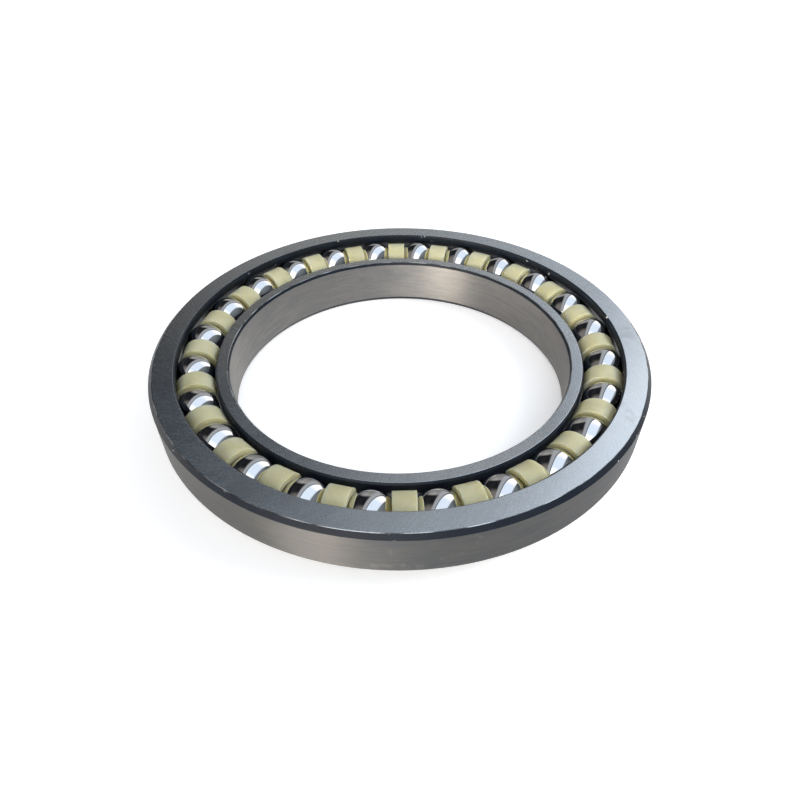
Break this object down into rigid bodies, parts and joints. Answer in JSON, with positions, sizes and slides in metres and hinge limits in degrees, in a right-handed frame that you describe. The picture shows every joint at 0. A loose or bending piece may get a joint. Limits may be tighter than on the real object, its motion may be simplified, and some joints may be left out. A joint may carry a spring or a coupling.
{
  "type": "angular contact ball bearing",
  "caption": "Large thin-section ball bearing for combined thrust and radial load, with offset steel rings, steel balls and loose nylon spacers in place of a cage.",
  "frame": {"origin": "centre of the inner ring's lower face, on the bearing's axis, on the surface that it stands on", "axes": "+Z along the bearing's axis, from the inner ring's lower face to the outer ring's upper face"},
  "size_m": [0.3, 0.3, 0.04],
  "materials": {
    "inner_ring_steel": "through-hardened bearing steel, ground faces and bore, black unground chamfers and land",
    "outer_ring_steel": "through-hardened bearing steel, ground faces and outside, black unground chamfers",
    "ball_steel": "lapped bearing steel, mirror bright",
    "spacer_nylon": "machined natural nylon, ivory, slightly translucent"
  },
  "bodies": {
    "inner_ring": {"inner_ring": "inner_ring_steel"},
    "outer_ring": {"outer_ring": "outer_ring_steel"},
    "spacer_set": {"spacer_01": "spacer_nylon", "spacer_02": "spacer_nylon", "spacer_03": "spacer_nylon", "spacer_04": "spacer_nylon", "spacer_05": "spacer_nylon", "spacer_06": "spacer_nylon", "spacer_07": "spacer_nylon", "spacer_08": "spacer_nylon", "spacer_09": "spacer_nylon", "spacer_10": "spacer_nylon", "spacer_11": "spacer_nylon", "spacer_12": "spacer_nylon", "spacer_13": "spacer_nylon", "spacer_14": "spacer_nylon", "spacer_15": "spacer_nylon", "spacer_16": "spacer_nylon", "spacer_17": "spacer_nylon", "spacer_18": "spacer_nylon", "spacer_19": "spacer_nylon", "spacer_20": "spacer_nylon", "spacer_21": "spacer_nylon", "spacer_22": "spacer_nylon", "spacer_23": "spacer_nylon", "spacer_24": "spacer_nylon"},
    "ball_01": {"ball_01": "ball_steel"},
    "ball_02": {"ball_02": "ball_steel"},
    "ball_03": {"ball_03": "ball_steel"},
    "ball_04": {"ball_04": "ball_steel"},
    "ball_05": {"ball_05": "ball_steel"},
    "ball_06": {"ball_06": "ball_steel"},
    "ball_07": {"ball_07": "ball_steel"},
    "ball_08": {"ball_08": "ball_steel"},
    "ball_09": {"ball_09": "ball_steel"},
    "ball_10": {"ball_10": "ball_steel"},
    "ball_11": {"ball_11": "ball_steel"},
    "ball_12": {"ball_12": "ball_steel"},
    "ball_13": {"ball_13": "ball_steel"},
    "ball_14": {"ball_14": "ball_steel"},
    "ball_15": {"ball_15": "ball_steel"},
    "ball_16": {"ball_16": "ball_steel"},
    "ball_17": {"ball_17": "ball_steel"},
    "ball_18": {"ball_18": "ball_steel"},
    "ball_19": {"ball_19": "ball_steel"},
    "ball_20": {"ball_20": "ball_steel"},
    "ball_21": {"ball_21": "ball_steel"},
    "ball_22": {"ball_22": "ball_steel"},
    "ball_23": {"ball_23": "ball_steel"},
    "ball_24": {"ball_24": "ball_steel"}
  },
  "joints": [
    {"name": "outer_ring_spin", "type": "hinge", "parent": "inner_ring", "child": "outer_ring", "pos_m": [0, 0, 0.026], "axis": [0, 0, 1], "continuous": true},
    {"name": "ball_set_orbit", "type": "hinge", "parent": "inner_ring", "child": "spacer_set", "pos_m": [0, 0, 0.0246], "axis": [0, 0, 1], "continuous": true},
    {"name": "ball_01_spin", "type": "hinge", "parent": "spacer_set", "child": "ball_01", "pos_m": [0.12534, 0.01851, 0.0246], "axis": [-0.5954, -0.0879, 0.7986], "continuous": true},
    {"name": "ball_02_spin", "type": "hinge", "parent": "spacer_set", "child": "ball_02", "pos_m": [0.11628, 0.05032, 0.0246], "axis": [-0.5523, -0.239, 0.7986], "continuous": true},
    {"name": "ball_03_spin", "type": "hinge", "parent": "spacer_set", "child": "ball_03", "pos_m": [0.09929, 0.0787, 0.0246], "axis": [-0.4716, -0.3738, 0.7986], "continuous": true},
    {"name": "ball_04_spin", "type": "hinge", "parent": "spacer_set", "child": "ball_04", "pos_m": [0.07554, 0.10172, 0.0246], "axis": [-0.3588, -0.4831, 0.7986], "continuous": true},
    {"name": "ball_05_spin", "type": "hinge", "parent": "spacer_set", "child": "ball_05", "pos_m": [0.04664, 0.1178, 0.0246], "axis": [-0.2215, -0.5596, 0.7986], "continuous": true},
    {"name": "ball_06_spin", "type": "hinge", "parent": "spacer_set", "child": "ball_06", "pos_m": [0.01456, 0.12586, 0.0246], "axis": [-0.0692, -0.5978, 0.7986], "continuous": true},
    {"name": "ball_07_spin", "type": "hinge", "parent": "spacer_set", "child": "ball_07", "pos_m": [-0.01851, 0.12534, 0.0246], "axis": [0.0879, -0.5954, 0.7986], "continuous": true},
    {"name": "ball_08_spin", "type": "hinge", "parent": "spacer_set", "child": "ball_08", "pos_m": [-0.05032, 0.11628, 0.0246], "axis": [0.239, -0.5523, 0.7986], "continuous": true},
    {"name": "ball_09_spin", "type": "hinge", "parent": "spacer_set", "child": "ball_09", "pos_m": [-0.0787, 0.09929, 0.0246], "axis": [0.3738, -0.4716, 0.7986], "continuous": true},
    {"name": "ball_10_spin", "type": "hinge", "parent": "spacer_set", "child": "ball_10", "pos_m": [-0.10172, 0.07554, 0.0246], "axis": [0.4831, -0.3588, 0.7986], "continuous": true},
    {"name": "ball_11_spin", "type": "hinge", "parent": "spacer_set", "child": "ball_11", "pos_m": [-0.1178, 0.04664, 0.0246], "axis": [0.5596, -0.2215, 0.7986], "continuous": true},
    {"name": "ball_12_spin", "type": "hinge", "parent": "spacer_set", "child": "ball_12", "pos_m": [-0.12586, 0.01456, 0.0246], "axis": [0.5978, -0.0692, 0.7986], "continuous": true},
    {"name": "ball_13_spin", "type": "hinge", "parent": "spacer_set", "child": "ball_13", "pos_m": [-0.12534, -0.01851, 0.0246], "axis": [0.5954, 0.0879, 0.7986], "continuous": true},
    {"name": "ball_14_spin", "type": "hinge", "parent": "spacer_set", "child": "ball_14", "pos_m": [-0.11628, -0.05032, 0.0246], "axis": [0.5523, 0.239, 0.7986], "continuous": true},
    {"name": "ball_15_spin", "type": "hinge", "parent": "spacer_set", "child": "ball_15", "pos_m": [-0.09929, -0.0787, 0.0246], "axis": [0.4716, 0.3738, 0.7986], "continuous": true},
    {"name": "ball_16_spin", "type": "hinge", "parent": "spacer_set", "child": "ball_16", "pos_m": [-0.07554, -0.10172, 0.0246], "axis": [0.3588, 0.4831, 0.7986], "continuous": true},
    {"name": "ball_17_spin", "type": "hinge", "parent": "spacer_set", "child": "ball_17", "pos_m": [-0.04664, -0.1178, 0.0246], "axis": [0.2215, 0.5596, 0.7986], "continuous": true},
    {"name": "ball_18_spin", "type": "hinge", "parent": "spacer_set", "child": "ball_18", "pos_m": [-0.01456, -0.12586, 0.0246], "axis": [0.0692, 0.5978, 0.7986], "continuous": true},
    {"name": "ball_19_spin", "type": "hinge", "parent": "spacer_set", "child": "ball_19", "pos_m": [0.01851, -0.12534, 0.0246], "axis": [-0.0879, 0.5954, 0.7986], "continuous": true},
    {"name": "ball_20_spin", "type": "hinge", "parent": "spacer_set", "child": "ball_20", "pos_m": [0.05032, -0.11628, 0.0246], "axis": [-0.239, 0.5523, 0.7986], "continuous": true},
    {"name": "ball_21_spin", "type": "hinge", "parent": "spacer_set", "child": "ball_21", "pos_m": [0.0787, -0.09929, 0.0246], "axis": [-0.3738, 0.4716, 0.7986], "continuous": true},
    {"name": "ball_22_spin", "type": "hinge", "parent": "spacer_set", "child": "ball_22", "pos_m": [0.10172, -0.07554, 0.0246], "axis": [-0.4831, 0.3588, 0.7986], "continuous": true},
    {"name": "ball_23_spin", "type": "hinge", "parent": "spacer_set", "child": "ball_23", "pos_m": [0.1178, -0.04664, 0.0246], "axis": [-0.5596, 0.2215, 0.7986], "continuous": true},
    {"name": "ball_24_spin", "type": "hinge", "parent": "spacer_set", "child": "ball_24", "pos_m": [0.12586, -0.01456, 0.0246], "axis": [-0.5978, 0.0692, 0.7986], "continuous": true}
  ],
  "couplings": [
    {"joint": "ball_set_orbit", "follows": "outer_ring_spin", "ratio": 0.54003},
    {"joint": "ball_01_spin", "follows": "outer_ring_spin", "ratio": 4.9562},
    {"joint": "ball_02_spin", "follows": "outer_ring_spin", "ratio": 4.9562},
    {"joint": "ball_03_spin", "follows": "outer_ring_spin", "ratio": 4.9562},
    {"joint": "ball_04_spin", "follows": "outer_ring_spin", "ratio": 4.9562},
    {"joint": "ball_05_spin", "follows": "outer_ring_spin", "ratio": 4.9562},
    {"joint": "ball_06_spin", "follows": "outer_ring_spin", "ratio": 4.9562},
    {"joint": "ball_07_spin", "follows": "outer_ring_spin", "ratio": 4.9562},
    {"joint": "ball_08_spin", "follows": "outer_ring_spin", "ratio": 4.9562},
    {"joint": "ball_09_spin", "follows": "outer_ring_spin", "ratio": 4.9562},
    {"joint": "ball_10_spin", "follows": "outer_ring_spin", "ratio": 4.9562},
    {"joint": "ball_11_spin", "follows": "outer_ring_spin", "ratio": 4.9562},
    {"joint": "ball_12_spin", "follows": "outer_ring_spin", "ratio": 4.9562},
    {"joint": "ball_13_spin", "follows": "outer_ring_spin", "ratio": 4.9562},
    {"joint": "ball_14_spin", "follows": "outer_ring_spin", "ratio": 4.9562},
    {"joint": "ball_15_spin", "follows": "outer_ring_spin", "ratio": 4.9562},
    {"joint": "ball_16_spin", "follows": "outer_ring_spin", "ratio": 4.9562},
    {"joint": "ball_17_spin", "follows": "outer_ring_spin", "ratio": 4.9562},
    {"joint": "ball_18_spin", "follows": "outer_ring_spin", "ratio": 4.9562},
    {"joint": "ball_19_spin", "follows": "outer_ring_spin", "ratio": 4.9562},
    {"joint": "ball_20_spin", "follows": "outer_ring_spin", "ratio": 4.9562},
    {"joint": "ball_21_spin", "follows": "outer_ring_spin", "ratio": 4.9562},
    {"joint": "ball_22_spin", "follows": "outer_ring_spin", "ratio": 4.9562},
    {"joint": "ball_23_spin", "follows": "outer_ring_spin", "ratio": 4.9562},
    {"joint": "ball_24_spin", "follows": "outer_ring_spin", "ratio": 4.9562}
  ]
}
